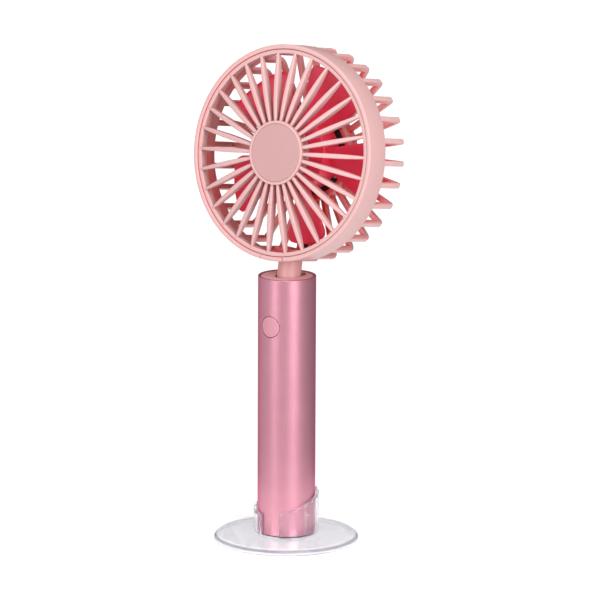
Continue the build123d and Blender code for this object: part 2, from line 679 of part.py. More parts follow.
with BuildPart() as motor_cover:
    with BuildSketch(head_section(0)):
        Polygon(
            (4.2, 0.9),
            (COVER_R - 0.8, 0.9),
            (COVER_R, 0.1),
            (COVER_R, -8.7),
            (COVER_FLANGE_R, -8.7),
            (COVER_FLANGE_R, -9.9),
            (12.25, -9.9),
            (12.25, -0.3),
            (4.2, -0.3),
            align=None,
        )
    revolve(axis=HEAD_AXIS)
    with BuildSketch(HEAD.offset(-10.5)):
        with PolarLocations(COVER_SCREW_R, 3, start_angle=90):
            Circle(1.05)
    extrude(amount=3, mode=Mode.SUBTRACT)
    with BuildSketch(HEAD.offset(-0.5)):
        with PolarLocations(MOTOR_SCREW_R, 2):
            Circle(0.95)
    extrude(amount=2, mode=Mode.SUBTRACT)
save(motor_cover, "motor_cover")

with BuildPart() as cover_screws:
    with Locations(HEAD.offset(-8.68)):
        with PolarLocations(COVER_SCREW_R, 3, start_angle=90):
            add(make_screw(1.7, 1.1, 0.9, 4.6))
save(cover_screws, "cover_screws")

with BuildPart() as motor_screws:
    with Locations(HEAD.offset(0.92)):
        with PolarLocations(MOTOR_SCREW_R, 2):
            add(make_screw(1.5, 0.9, 0.8, 1.9))
save(motor_screws, "motor_screws")

with BuildPart() as motor_can:
    with BuildSketch(head_section(0)):
        Polygon(
            (2.25, 0.8),
            (3.9, 0.8),
            (3.9, MOTOR_FRONT),
            (MOTOR_R - 0.8, MOTOR_FRONT),
            (MOTOR_R, MOTOR_FRONT - 0.8),
            (MOTOR_R, MOTOR_BACK),
            (MOTOR_R - 0.7, MOTOR_BACK),
            (MOTOR_R - 0.7, MOTOR_FRONT - 0.8),
            (2.25, MOTOR_FRONT - 0.8),
            align=None,
        )
    revolve(axis=HEAD_AXIS)
    with BuildSketch(HEAD.offset(-2)):
        with PolarLocations(MOTOR_SCREW_R, 2):
            Circle(0.85)
    extrude(amount=3, mode=Mode.SUBTRACT)
save(motor_can, "motor_can")

with BuildPart() as motor_end_cap:
    with BuildSketch(head_section(0)):
        Polygon(
            (2.25, MOTOR_BACK - 0.8),
            (MOTOR_R - 0.1, MOTOR_BACK - 0.8),
            (MOTOR_R - 0.1, MOTOR_BACK - 0.05),
            (MOTOR_R - 0.75, MOTOR_BACK - 0.05),
            (MOTOR_R - 0.75, MOTOR_BACK + 0.8),
            (2.25, MOTOR_BACK + 0.8),
            align=None,
        )
    revolve(axis=HEAD_AXIS)
save(motor_end_cap, "motor_end_cap")

with BuildPart() as motor_terminals:
    with BuildSketch(HEAD.offset(MOTOR_BACK - 0.75)):
        with Locations((-3, -13.1), (3, -13.1)):
            Rectangle(1.6, 2.1)
    extrude(amount=0.3)
save(motor_terminals, "motor_terminals")

with BuildPart() as motor_bushes:
    with BuildSketch(HEAD.offset(MOTOR_BACK - 0.75)):
        Circle(2.2)
        Circle(SHAFT_R + 0.02, mode=Mode.SUBTRACT)
    extrude(amount=1.5)
    with BuildSketch(HEAD.offset(MOTOR_FRONT - 0.75)):
        Circle(2.2)
        Circle(SHAFT_R + 0.02, mode=Mode.SUBTRACT)
    extrude(amount=1.8)
save(motor_bushes, "motor_bushes")

with BuildPart() as motor_magnets:
    for angle in (20, 200):
        with BuildSketch(head_section(angle)):
            with Locations((10.3, -6.0)):
                Rectangle(2.0, 8.6)
        revolve(axis=HEAD_AXIS, revolution_arc=140)
save(motor_magnets, "motor_magnets")

# --- What spins: shaft, rotor and impeller -----------------------------------

with BuildPart() as motor_shaft:
    with BuildSketch(HEAD.offset(MOTOR_BACK - 0.7)):
        Circle(SHAFT_R)
    extrude(amount=4.0 - MOTOR_BACK + 0.7)
save(motor_shaft, "motor_shaft")

with BuildPart() as rotor_core:
    with BuildSketch(HEAD.offset(-8.6)):
        Circle(8.9)
        with PolarLocations(5.9, 3, start_angle=30):
            Rectangle(6.6, 8.2, mode=Mode.SUBTRACT)
        Circle(SHAFT_R + 0.01, mode=Mode.SUBTRACT)
    extrude(amount=5.2)
save(rotor_core, "rotor_core")

with BuildPart() as rotor_windings:
    with BuildSketch(HEAD.offset(-9.5)):
        with PolarLocations(4.4, 3, start_angle=90):
            Rectangle(2.6, 5.6)
    extrude(amount=0.85)
    with BuildSketch(HEAD.offset(-3.35)):
        with PolarLocations(4.4, 3, start_angle=90):
            Rectangle(2.6, 5.6)
    extrude(amount=0.85)
save(rotor_windings, "rotor_windings")

with BuildPart() as commutator:
    with BuildSketch(HEAD.offset(-11.4)):
        Circle(2.4)
        Circle(SHAFT_R + 0.01, mode=Mode.SUBTRACT)
    extrude(amount=2.7)
save(commutator, "commutator")

# A blade is a strip of a helicoid: the same rise and the same sweep at every radius
with BuildPart() as blade:
    for radius in (BLADE_ROOT_R, 23.0, 30.0, 38.0, 46.0):
        run = radius * radians(BLADE_SWEEP)
        chord = (run**2 + BLADE_RISE**2) ** 0.5
        camber = chord * BLADE_CAMBER
        along_chord = (0, run, BLADE_RISE)
        with BuildSketch(Plane(origin=(radius, 0, BLADE_MID), x_dir=along_chord, z_dir=(1, 0, 0))):
            with BuildLine():
                ThreePointArc((-chord / 2, 0), (0, camber), (chord / 2, 0))
                Line((chord / 2, 0), (chord / 2, -0.5))
                ThreePointArc((chord / 2, -0.5), (0, camber - BLADE_T), (-chord / 2, -0.5))
                Line((-chord / 2, -0.5), (-chord / 2, 0))
            make_face()
    loft(ruled=True)
    with BuildSketch(Plane.XY.offset(-20)):
        Circle(BLADE_TIP_R)
    extrude(amount=40, mode=Mode.INTERSECT)

with BuildPart(HEAD) as impeller:
    with BuildSketch(head_section(0)):
        Polygon(
            (SHAFT_R + 0.01, 1.6),
            (3.2, 1.6),
            (3.2, IMPELLER_HUB_FRONT - 1.4),
            (IMPELLER_HUB_R - 1.4, IMPELLER_HUB_FRONT - 1.4),
            (IMPELLER_HUB_R - 1.4, IMPELLER_HUB_BACK),
            (IMPELLER_HUB_R, IMPELLER_HUB_BACK),
            (IMPELLER_HUB_R, IMPELLER_HUB_FRONT - 1.0),
            (IMPELLER_HUB_R - 1.0, IMPELLER_HUB_FRONT),
            (0, IMPELLER_HUB_FRONT),
            (0, 4.05),
            (SHAFT_R + 0.01, 4.05),
            align=None,
        )
    revolve(axis=HEAD_AXIS)
    with PolarLocations(0, BLADES, start_angle=BLADE_START):
        add(blade.part)
save(impeller, "impeller")

# --- Motor leads: up the neck, round the saddle and along the duct -----------

LEAD_DEPTH = CAGE_BACK + 1.4

with BuildPart() as motor_leads:
    for lead_x in (-LEAD_X, LEAD_X):
        with BuildLine(head_section(-90)):
            lead_path = FilletPolyline(
                (NECK_REACH - 3.0, 0),
                (-DUCT_TOP - 0.85, 0),
                (-DUCT_TOP - 0.85, LEAD_DEPTH),
                (MOTOR_R + 3.7, LEAD_DEPTH),
                radius=1.2,
            )
        lead_path = lead_path.moved(Location((lead_x, 0, 0)))
        with BuildSketch(Plane(origin=lead_path @ 0, z_dir=lead_path % 0)):
            Circle(LEAD_R)
        sweep(path=lead_path)
save(motor_leads, "motor_leads")
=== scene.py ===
import json
from math import cos, pi, radians, sin

import bpy
from mathutils import Matrix, Vector


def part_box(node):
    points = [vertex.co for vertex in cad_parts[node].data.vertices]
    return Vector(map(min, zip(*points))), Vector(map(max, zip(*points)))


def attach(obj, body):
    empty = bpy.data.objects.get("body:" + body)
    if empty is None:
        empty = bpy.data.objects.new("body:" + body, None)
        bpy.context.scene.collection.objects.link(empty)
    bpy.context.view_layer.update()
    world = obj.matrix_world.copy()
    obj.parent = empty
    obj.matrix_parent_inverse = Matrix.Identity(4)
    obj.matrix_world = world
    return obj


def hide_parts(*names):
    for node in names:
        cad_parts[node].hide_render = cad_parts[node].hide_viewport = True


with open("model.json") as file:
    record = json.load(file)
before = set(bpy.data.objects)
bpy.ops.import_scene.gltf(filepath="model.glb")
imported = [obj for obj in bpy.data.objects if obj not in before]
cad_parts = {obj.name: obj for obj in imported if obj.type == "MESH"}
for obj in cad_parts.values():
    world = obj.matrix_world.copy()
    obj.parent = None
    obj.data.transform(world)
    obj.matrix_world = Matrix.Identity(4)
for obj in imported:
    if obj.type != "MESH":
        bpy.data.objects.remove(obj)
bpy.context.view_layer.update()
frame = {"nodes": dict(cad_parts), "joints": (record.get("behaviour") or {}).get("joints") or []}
nodes = frame["nodes"]

# --- Desk stand --------------------------------------------------------------
# One injection-moulded piece of clear acrylic: a disc with a rolled rim and a
# slit sleeve that springs open to grip the handle. It is polished all over,
# with a lavender tint, a few hairline scuffs and painted shade along the rim.


class Tone:
    """An output socket of a finish's node tree, used in sums like a number."""

    def __init__(self, finish, socket):
        self.finish = finish
        self.socket = socket

    def math(self, operation, first, second=0.0):
        settings = {"operation": operation}
        return self.finish.node("ShaderNodeMath", settings, {0: first, 1: second})

    def __add__(self, other):
        return self.math("ADD", self, other)

    def __radd__(self, other):
        return self.math("ADD", other, self)

    def __sub__(self, other):
        return self.math("SUBTRACT", self, other)

    def __rsub__(self, other):
        return self.math("SUBTRACT", other, self)

    def __mul__(self, other):
        return self.math("MULTIPLY", self, other)

    def __rmul__(self, other):
        return self.math("MULTIPLY", other, self)

    def __abs__(self):
        return self.math("ABSOLUTE", self)


def socket_name(word):
    return "IOR" if word == "ior" else word.replace("_", " ").title()


class Finish:
    """A material with one Principled shader. Constants sit on the shader's own sockets."""

    def __init__(self, name, **constants):
        self.material = bpy.data.materials.new(name)
        self.material.use_nodes = True
        self.tree = self.material.node_tree
        self.shader = self.tree.nodes["Principled BSDF"]
        for socket, value in constants.items():
            self.shader.inputs[socket_name(socket)].default_value = value

    def node(self, kind, settings, sockets, output=0):
        made = self.tree.nodes.new(kind)
        for name, value in settings.items():
            setattr(made, name, value)
        for key, value in sockets.items():
            self.feed(made.inputs[key], value)
        return Tone(self, made.outputs[output])

    def feed(self, socket, value):
        if isinstance(value, Tone):
            self.tree.links.new(value.socket, socket)
        else:
            socket.default_value = value

    def place(self):
        return self.node("ShaderNodeTexCoord", {}, {}, "Object")

    def noise(self, scale, detail=2.0, roughness=0.5, vector=None):
        sockets = {"Vector": vector or self.place(), "Scale": scale, "Detail": detail}
        return self.node("ShaderNodeTexNoise", {}, {**sockets, "Roughness": roughness})

    def ramp(self, value, low, high, out_low=0.0, out_high=1.0):
        sockets = {0: value, 1: low, 2: high, 3: out_low, 4: out_high}
        return self.node("ShaderNodeMapRange", {"clamp": True}, sockets)

    def mix(self, factor, first, second):
        colours = [shade if isinstance(shade, Tone) else (*shade, 1) for shade in (first, second)]
        sockets = {0: factor, 6: colours[0], 7: colours[1]}
        return self.node("ShaderNodeMix", {"data_type": "RGBA"}, sockets, 2)

    def bump(self, height, distance, strength=1.0):
        sockets = {"Height": height, "Distance": distance, "Strength": strength}
        return self.node("ShaderNodeBump", {}, sockets)

    def openness(self, reach):
        """1 where a point lies open and 0 far inside a corner or a gap; it drives painted shade."""
        return self.node("ShaderNodeAmbientOcclusion", {"samples": 8}, {"Distance": reach}, "AO")

    def surface(self, **fed):
        for socket, value in fed.items():
            self.feed(self.shader.inputs[socket_name(socket)], value)
        return self.material


CLEAR = (0.975, 0.955, 0.99)
# Painted shade: the dark colour of the band round the stand's rim.
RIM_PAINTED_SHADE = (0.10, 0.085, 0.12)
RIM_SHADE_STARTS = 0.0322
RIM_SHADE_FULL = 0.0330
RIM_SHADE_FOOT = 0.0012
RIM_SHADE_TOP = 0.0017
BODY_TINT = (0.55, 0.48, 0.66, 1)
BODY_DENSITY = 26.0


def clear_acrylic():
    acrylic = Finish("clear_acrylic", ior=1.49, transmission_weight=1.0, alpha=0.8)
    flat = acrylic.node("ShaderNodeVectorMath", {"operation": "MULTIPLY"}, {0: acrylic.place(), 1: (1, 1, 0)})
    radius = acrylic.node("ShaderNodeVectorMath", {"operation": "LENGTH"}, {0: flat}, "Value")
    height = acrylic.node("ShaderNodeSeparateXYZ", {}, {0: acrylic.place()}, "Z")
    # Painted shade: the base colour darkens in a band round the rim, by radius and height.
    rim_shade_mask = acrylic.ramp(radius, RIM_SHADE_STARTS, RIM_SHADE_FULL) * acrylic.ramp(height, RIM_SHADE_FOOT, RIM_SHADE_TOP)
    clear_with_rim_shade = acrylic.mix(rim_shade_mask, CLEAR, RIM_PAINTED_SHADE)
    streaks = acrylic.node("ShaderNodeMapping", {}, {0: acrylic.place(), 3: (1, 1, 0.15)})
    scuffs = acrylic.ramp(acrylic.noise(900, 4, 0.7, streaks), 0.62, 0.78)
    thick = {"Color": BODY_TINT, "Density": BODY_DENSITY}
    body = acrylic.node("ShaderNodeVolumeAbsorption", {}, thick)
    acrylic.feed(acrylic.tree.nodes["Material Output"].inputs["Volume"], body)
    return acrylic.surface(base_color=clear_with_rim_shade, roughness=0.02 + 0.10 * scuffs)


def wear(node, material):
    """Gives a CAD piece its finish."""
    nodes[node].data.materials.clear()
    nodes[node].data.materials.append(material)


wear("desk_stand", clear_acrylic())

# --- Handle tube -------------------------------------------------------------
# Drawn aluminium tube, cut to length, drilled for the button, bead-blasted to
# a fine even grain and dyed pink in the anodising bath. The cut ends are
# chamfered and show a brighter line of dye-free metal where hands rub them.

PINK_ANODISE = (0.69, 0.315, 0.395)
PINK_ANODISE_DEEP = (0.67, 0.30, 0.38)
RUBBED_EDGE = (0.66, 0.42, 0.47)


def anodised_pink():
    anodised = Finish("anodised_pink", metallic=1.0, specular_tint=(0.8, 0.42, 0.52, 1))
    grain = anodised.noise(6500, 2, 0.6)
    clouds = anodised.noise(90, 3, 0.55)
    colour = anodised.mix(anodised.ramp(clouds, 0.35, 0.65), PINK_ANODISE_DEEP, PINK_ANODISE)
    low, high = (corner.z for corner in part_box("handle_tube"))
    height = anodised.node("ShaderNodeSeparateXYZ", {}, {0: anodised.place()}, "Z")
    middle, half = (low + high) / 2, (high - low) / 2
    edge = anodised.ramp(abs(height - middle), half - 0.00035, half - 0.0001)
    colour = anodised.mix(edge * 0.6, colour, RUBBED_EDGE)
    rough = 0.29 + 0.07 * grain + 0.04 * clouds
    normal = anodised.bump(grain, 0.00003, 0.35)
    return anodised.surface(base_color=colour, roughness=rough, normal=normal)


wear("handle_tube", anodised_pink())

# --- Foot cap and charging port ----------------------------------------------
# A moulded plug in the tube's foot, held by two cross-head screws. It carries
# the charging socket, a pressed steel shell round a tongue, and the clear pipe
# that brings the charging light down to the outside.


def moulded(name, colour, shaded, roughness=0.42, corner_shade=None, reach=0.01, **constants):
    """Injection-moulded plastic: fine spark-eroded grain and faint flow clouds.

    Where a corner shade is given, painted shade turns the colour to it in corners and gaps, and darker still
    far into the gaps."""
    plastic = Finish(name, **constants)
    spark = plastic.noise(4200, 3, 0.6)
    flow = plastic.noise(45, 2, 0.5)
    tint = plastic.mix(plastic.ramp(flow, 0.3, 0.7), shaded, colour)
    if corner_shade:
        open_air = plastic.openness(reach)
        gap = tuple(0.35 * channel for channel in corner_shade)
        tint = plastic.mix(plastic.ramp(open_air, 0.3, 0.85), corner_shade, tint)
        tint = plastic.mix(plastic.ramp(open_air, 0.0, 0.3), gap, tint)
    rough = roughness - 0.05 + 0.10 * spark
    return plastic.surface(base_color=tint, roughness=rough, normal=plastic.bump(spark, 0.00001, 0.5))


def steel(name, colour, roughness):
    """Bright-plated steel with the fine scratches that handling leaves."""
    plated = Finish(name, metallic=1.0)
    stretched = plated.node("ShaderNodeMapping", {}, {0: plated.place(), 3: (1, 6, 1)})
    scratches = plated.noise(1800, 4, 0.7, stretched)
    dark = tuple(0.8 * channel for channel in colour)
    tint = plated.mix(plated.ramp(scratches, 0.3, 0.7), dark, colour)
    rough = roughness + 0.12 * scratches
    return plated.surface(base_color=tint, roughness=rough, normal=plated.bump(scratches, 0.000008, 0.4))


zinc_steel = steel("zinc_steel", (0.62, 0.62, 0.64), 0.28)
nickel = steel("nickel_strip", (0.66, 0.63, 0.58), 0.26)
wear("bottom_cap", moulded("foot_plastic", (0.030, 0.016, 0.018), (0.022, 0.012, 0.013)))
wear("bottom_screws", zinc_steel)
wear("charge_port", nickel)
wear("charge_light", moulded("light_pipe", (0.90, 0.90, 0.88), (0.84, 0.84, 0.82), 0.25,
                             transmission_weight=0.4))

# --- Inside the handle -------------------------------------------------------
# A white carrier slides into the tube with everything on it: the lithium cell
# in its shrink sleeve with spot-welded nickel tabs, the control board with
# its chips and switch, and the red and black leads between them.


def laminate():
    """Glass-fibre board: the weave shows faintly under the green lacquer."""
    board = Finish("board_laminate", roughness=0.35, coat_weight=0.3)
    weave = board.node("ShaderNodeTexWave", {"wave_type": "BANDS"}, {"Vector": board.place(), "Scale": 420})
    threads = 0.5 * weave + 0.5 * board.noise(700)
    colour = board.mix(threads, (0.012, 0.10, 0.045), (0.03, 0.19, 0.08))
    return board.surface(base_color=colour, normal=board.bump(threads, 0.00001, 0.3))


def cell_sleeve():
    """Shrunk plastic film, drawn tight and slightly rippled round the cell's ends."""
    film = Finish("cell_sleeve", coat_weight=0.4)
    ripples = film.noise(350, 2)
    colour = film.mix(ripples, (0.03, 0.14, 0.42), (0.05, 0.20, 0.55))
    rough = 0.24 + 0.1 * ripples
    return film.surface(base_color=colour, roughness=rough, normal=film.bump(ripples, 0.00005, 0.3))


def lead_sleeve():
    """Silicone insulation, one lead red and the other black, told apart by their side."""
    sleeve = Finish("lead_sleeve", roughness=0.45)
    side = sleeve.node("ShaderNodeSeparateXYZ", {}, {0: sleeve.place()}, "X")
    colour = sleeve.mix(sleeve.ramp(side, -0.0001, 0.0001), (0.02, 0.02, 0.022), (0.55, 0.02, 0.02))
    return sleeve.surface(base_color=colour, normal=sleeve.bump(sleeve.noise(2500), 0.00001, 0.4))


leads = lead_sleeve()
green_board = laminate()
black_plastic = moulded("switch_body", (0.025, 0.025, 0.028), (0.018, 0.018, 0.02), 0.38)
wear("battery_carrier", moulded("carrier_plastic", (0.78, 0.77, 0.74), (0.72, 0.71, 0.68), 0.5))
wear("battery_cell", cell_sleeve())
wear("battery_tabs", nickel)
wear("battery_leads", leads)
wear("charge_board", green_board)
wear("circuit_board", green_board)
wear("board_screws", zinc_steel)
wear("board_chips", moulded("chip_epoxy", (0.03, 0.03, 0.032), (0.02, 0.02, 0.022), 0.55))
wear("tact_switch", black_plastic)
wear("switch_plunger", black_plastic)

# --- Power button ------------------------------------------------------------
# A round moulded button behind the tube's wall, its face cut to the tube's
# curve so that it sits flush, with a softer sheen than the metal round it.

BUTTON_PINK = (0.48, 0.203, 0.253)
BUTTON_PINK_SHADED = (0.465, 0.193, 0.243)
# Painted shade: the button darkens to this in the narrow gap round it in the tube's hole.
BUTTON_PAINTED_SHADE = (0.40, 0.15, 0.19)
button_plastic = moulded("button_plastic", BUTTON_PINK, BUTTON_PINK_SHADED, 0.36, BUTTON_PAINTED_SHADE, 0.002)
wear("power_button", button_plastic)

# --- Top cap -----------------------------------------------------------------
# A moulded lid pressed into the tube just below its edge. The long slot lets
# the neck swing and shows the dark inside of the handle at both ends.

CAP_PINK = (0.74, 0.45, 0.465)
CAP_PINK_SHADED = (0.72, 0.435, 0.45)
wear("top_cap", moulded("cap_plastic", CAP_PINK, CAP_PINK_SHADED))

# --- Tilt hinge --------------------------------------------------------------
# A bent zinc-plated bracket, screwed to the carrier. A pin and nut squeeze the
# neck's barrel between two sprung washers, so the head stays where it is set.

wear("hinge_bracket", zinc_steel)
wear("bracket_screws", zinc_steel)
wear("hinge_pin", zinc_steel)
wear("hinge_nut", zinc_steel)
wear("hinge_washers", nickel)

# --- Neck --------------------------------------------------------------------
# A hollow moulded stalk with the hinge barrel at its foot. Its spigot goes
# into the rear cage's saddle and one screw from behind locks it there.

NECK_PINK = (0.62, 0.335, 0.33)
NECK_PINK_SHADED = (0.60, 0.32, 0.315)
wear("neck", moulded("neck_plastic", NECK_PINK, NECK_PINK_SHADED))
wear("neck_screw", zinc_steel)

# --- Rear cage ---------------------------------------------------------------
# The main moulding of the head: a deep rim, thirty bent bars with rounded
# edges and the cup that holds the motor, all in one shot. Screw bosses stand
# in the cup, and a saddle and a wire duct join it to the neck. Two ticks cut
# in the rim's front mark the grille's locked and open places.

HEAD_PINK = (0.53, 0.315, 0.31)
HEAD_PINK_SHADED = (0.515, 0.302, 0.297)
# Painted shade: the cage turns this dark red in corners, recesses and between its bars, and darker still in
# narrow gaps.
HEAD_PAINTED_SHADE = (0.78, 0.05, 0.055)
head_plastic = moulded("head_plastic", HEAD_PINK, HEAD_PINK_SHADED, corner_shade=HEAD_PAINTED_SHADE, reach=0.025)

MM = 0.001
SPOKES = 30
RING_STEPS = 240

spin_joint = next(joint for joint in frame["joints"] if joint["name"] == "impeller_spin")
head_front = Vector(spin_joint["axis"]).normalized()
head_right = Vector((1, 0, 0))
head_place = Matrix((head_right, head_front.cross(head_right), head_front)).transposed().to_4x4()
head_place.translation = spin_joint["pos_m"]


def edit_all():
    bpy.ops.object.mode_set(mode="EDIT")
    bpy.ops.mesh.select_all(action="SELECT")


def turn(outline, steps=RING_STEPS):
    """Turns an outline of (radius, depth) in millimetres about Z. It closes on itself or on the axis."""
    on_axis = outline[0][0] == 0
    points = outline[1:] if on_axis else outline + outline[:1]
    radius, depth = points[0]
    bpy.ops.object.select_all(action="DESELECT")
    fill = "TRIFAN" if on_axis else "NOTHING"
    bpy.ops.mesh.primitive_circle_add(
        vertices=steps, radius=radius * MM, location=(0, 0, depth * MM), fill_type=fill
    )
    edit_all()
    if on_axis:
        bpy.ops.mesh.select_all(action="DESELECT")
        bpy.ops.mesh.select_mode(type="EDGE")
        bpy.ops.mesh.select_non_manifold()
    for next_radius, next_depth in points[1:]:
        grow = next_radius / radius
        bpy.ops.mesh.extrude_region_move(TRANSFORM_OT_translate={"value": (0, 0, (next_depth - depth) * MM)})
        bpy.ops.transform.resize(value=(grow, grow, 1), center_override=(0, 0, 0))
        radius, depth = next_radius, next_depth
    return close_up()


def close_up():
    """Welds what meets, turns the faces outwards and leaves the piece at the origin."""
    bpy.ops.mesh.select_all(action="SELECT")
    bpy.ops.mesh.remove_doubles(threshold=0.002 * MM)
    bpy.ops.mesh.normals_make_consistent(inside=False)
    bpy.ops.object.mode_set(mode="OBJECT")
    bpy.ops.object.transform_apply(location=True, rotation=True, scale=True)
    return bpy.context.object


def soften(piece, width, segments=3, angle=30):
    """Rounds the edges that are sharper than the angle."""
    rounding = piece.modifiers.new("rounding", "BEVEL")
    rounding.width = width * MM
    rounding.segments = segments
    rounding.limit_method = "ANGLE"
    rounding.angle_limit = radians(angle)
    bpy.context.view_layer.objects.active = piece
    bpy.ops.object.modifier_apply(modifier=rounding.name)


def bar(stations, start, width, height):
    """A bar drawn out from a flat end face, station by station, along +X.

    Each station is (x, depth, width, height) in millimetres, at the bar's middle."""
    bpy.ops.object.select_all(action="DESELECT")
    x, depth = start
    bpy.ops.mesh.primitive_plane_add(size=MM, location=(x * MM, 0, depth * MM), rotation=(0, pi / 2, 0))
    edit_all()
    bpy.ops.transform.resize(value=(1, width, height))
    for next_x, next_depth, next_width, next_height in stations:
        step = ((next_x - x) * MM, 0, (next_depth - depth) * MM)
        bpy.ops.mesh.extrude_region_move(TRANSFORM_OT_translate={"value": step})
        bpy.ops.transform.resize(value=(1, next_width / width, next_height / height))
        x, depth, width, height = next_x, next_depth, next_width, next_height


def ring_of(piece, count, first=0.0):
    """Copies of a piece set round Z, each with its own mesh, and the piece itself taken away."""
    copies = []
    for index in range(count):
        copy = piece.copy()
        copy.data = piece.data.copy()
        copy.rotation_euler.z = radians(first + index * 360 / count)
        bpy.context.collection.objects.link(copy)
        copies.append(copy)
    bpy.data.objects.remove(piece)
    return copies


def fit_to_head(name, parts, material, body, node):
    """Joins the parts, sets them in the head's place and stands them in for the CAD piece."""
    bpy.ops.object.select_all(action="DESELECT")
    for part in parts:
        part.select_set(True)
    piece = parts[0]
    bpy.context.view_layer.objects.active = piece
    if len(parts) > 1:
        bpy.ops.object.join()
    bpy.ops.object.transform_apply(location=True, rotation=True, scale=True)
    piece.matrix_world = head_place
    bpy.ops.object.transform_apply(location=True, rotation=True, scale=True)
    bpy.ops.object.shade_smooth_by_angle(angle=radians(40))
    piece.name = name
    piece.data.materials.clear()
    piece.data.materials.append(material)
    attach(piece, body)
    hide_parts(node)


RIM_R = 50.0
RIM_BORE = 47.9
RIM_BACK = 3.8
RIM_FRONT = 16.4
SHOULDER_BORE = 46.9
SHOULDER = 11.4
rim = turn([
    (SHOULDER_BORE, RIM_BACK), (RIM_R, RIM_BACK), (RIM_R, RIM_FRONT),
    (RIM_BORE, RIM_FRONT), (RIM_BORE, SHOULDER), (SHOULDER_BORE, SHOULDER),
])
soften(rim, 0.55)

CUP_R = 21.6
CUP_BORE = 18.7
CUP_BACK = -15.5
CUP_FLOOR = -13.9
CUP_FRONT = -8.0
cup = turn([
    (0, CUP_BACK), (CUP_R, CUP_BACK), (CUP_R, CUP_FRONT),
    (CUP_BORE, CUP_FRONT), (CUP_BORE, CUP_FLOOR), (0, CUP_FLOOR),
])
soften(cup, 0.6)

BAR_WIDTH = 2.5
BAR_DEPTH = 3.0
BAR_MIDDLE = -12.0
CAGE_R = 49.85
CAGE_START = 1.0
BEND_R = 0.4
bend_x = CAGE_R - BAR_DEPTH - BEND_R
bend_depth = BAR_MIDDLE + BAR_DEPTH / 2 + BEND_R
bar([(bend_x, BAR_MIDDLE, BAR_WIDTH, BAR_DEPTH)], (CUP_R - 0.6, BAR_MIDDLE), BAR_WIDTH, BAR_DEPTH)
bpy.ops.mesh.spin(steps=8, angle=pi / 2, center=(bend_x * MM, 0, bend_depth * MM), axis=(0, 1, 0))
into_rim = RIM_BACK + 0.5 - bend_depth
bpy.ops.mesh.extrude_region_move(TRANSFORM_OT_translate={"value": (0, 0, into_rim * MM)})
cage_bar = close_up()
soften(cage_bar, 0.6, 3, 60)


def sector(inner, outer, back, front, middle, sweep):
    """A block of a ring, spun through the sweep about Z and centred on the middle angle."""
    bpy.ops.object.select_all(action="DESELECT")
    where = Vector(((inner + outer) / 2, 0, (back + front) / 2)) * MM
    bpy.ops.mesh.primitive_plane_add(size=MM, location=where, rotation=(pi / 2, 0, 0))
    edit_all()
    bpy.ops.transform.resize(value=(outer - inner, 1, front - back))
    bpy.ops.mesh.spin(steps=12, angle=radians(sweep), center=(0, 0, 0), axis=(0, 0, -1))
    block = close_up()
    block.rotation_euler.z = radians(middle - sweep / 2)
    bpy.ops.object.transform_apply(rotation=True)
    return block


def rod(radius, length, at, along_y=False):
    """A round cutter for a drilled hole, about its own middle."""
    bpy.ops.object.select_all(action="DESELECT")
    turned = (pi / 2, 0, 0) if along_y else (0, 0, 0)
    where = Vector(at) * MM
    bpy.ops.mesh.primitive_cylinder_add(
        vertices=48, radius=radius * MM, depth=length * MM, location=where, rotation=turned
    )
    bpy.ops.object.transform_apply(location=True, rotation=True, scale=True)
    return bpy.context.object


def cut(piece, *cutters):
    for cutter in cutters:
        hole = piece.modifiers.new("hole", "BOOLEAN")
        hole.object = cutter
        bpy.context.view_layer.objects.active = piece
        bpy.ops.object.modifier_apply(modifier=hole.name)
        bpy.data.objects.remove(cutter)


LOCKED_TICK = -82
OPEN_TICK = -96.5
cut(
    rim,
    sector(48.2, 50.6, 15.7, 17.0, LOCKED_TICK, 0.45),
    sector(48.4, 50.6, 16.1, 17.0, OPEN_TICK, 0.3),
)

SADDLE_BORE = 44.4
SADDLE_R = 49.8
SADDLE_BACK = -8.0
SPIGOT_HOLE_R = 3.65
NECK_SCREW_Y = -47.9
DOWN = -90
saddle = sector(SADDLE_BORE, SADDLE_R, SADDLE_BACK, 4.2, DOWN, 18)
soften(saddle, 0.6)
cut(
    saddle,
    rod(SPIGOT_HOLE_R, 8.0, (0, -49.9, 0), along_y=True),
    rod(1.05, 12.0, (0, NECK_SCREW_Y, SADDLE_BACK)),
    rod(1.9, 2.8, (0, NECK_SCREW_Y, SADDLE_BACK)),
    sector(44.0, 46.1, -9.0, 1.7, DOWN, 4.2),
)

DUCT_MIDDLE = Vector((0, -34.4, -11.9))
DUCT_SIZE = (5.2, 25.4, 3.2)
DUCT_WALL = 0.9
DUCT_DEEP = 2.5
bpy.ops.object.select_all(action="DESELECT")
bpy.ops.mesh.primitive_cube_add(size=MM, location=DUCT_MIDDLE * MM)
edit_all()
bpy.ops.transform.resize(value=DUCT_SIZE)
bpy.ops.mesh.select_all(action="DESELECT")
bpy.ops.mesh.select_mode(type="FACE")
bpy.ops.object.mode_set(mode="OBJECT")
for face in bpy.context.object.data.polygons:
    face.select = face.normal.z > 0.9
bpy.ops.object.mode_set(mode="EDIT")
bpy.ops.mesh.inset(thickness=DUCT_WALL * MM)
bpy.ops.mesh.extrude_region_move(TRANSFORM_OT_translate={"value": (0, 0, -DUCT_DEEP * MM)})
duct = close_up()
soften(duct, 0.3)

